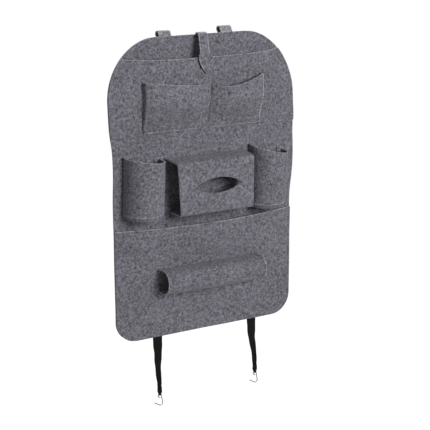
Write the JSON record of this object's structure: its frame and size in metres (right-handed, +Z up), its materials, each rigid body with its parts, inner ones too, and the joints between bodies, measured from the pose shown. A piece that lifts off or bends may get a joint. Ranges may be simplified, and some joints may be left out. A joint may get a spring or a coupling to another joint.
{
  "type": "car seat back organizer",
  "caption": "Felt panel that hangs behind a car seat from headrest loops, with sewn pockets for books, a phone, cups, tissues and a roll, and elastic straps with hooks.",
  "frame": {"origin": "middle of the line inside the two headrest loops, at the top of their bows, that the organizer hangs from", "axes": "+Z up, +X to the right of someone who faces the pockets, +Y back to the seat; the pockets face -Y"},
  "size_m": [0.431, 0.1154, 0.7922],
  "materials": {
    "felt": "mottled grey needle felt, 3 mm, with cut edges",
    "hook_and_loop": "black hook and loop tape",
    "elastic": "black woven elastic webbing",
    "zinc_wire": "zinc plated steel wire"
  },
  "bodies": {
    "root": {"back_panel": "felt", "magazine_pocket": "felt", "book_pocket": "felt", "phone_pocket": "felt", "tissue_sleeve": "felt", "roll_band": "felt", "cup_pocket_left": "felt", "cup_base_left": "felt", "cup_pocket_right": "felt", "cup_base_right": "felt", "closure_strap": "felt", "headrest_loop_left": "felt", "headrest_loop_right": "felt", "closure_loop_patch": "hook_and_loop", "closure_hook_patch": "hook_and_loop", "loop_hook_tape_left": "hook_and_loop", "loop_pile_tape_left": "hook_and_loop", "loop_hook_tape_right": "hook_and_loop", "loop_pile_tape_right": "hook_and_loop", "elastic_strap_left": "elastic", "elastic_strap_right": "elastic", "hook_left": "zinc_wire", "hook_right": "zinc_wire"}
  },
  "joints": []
}
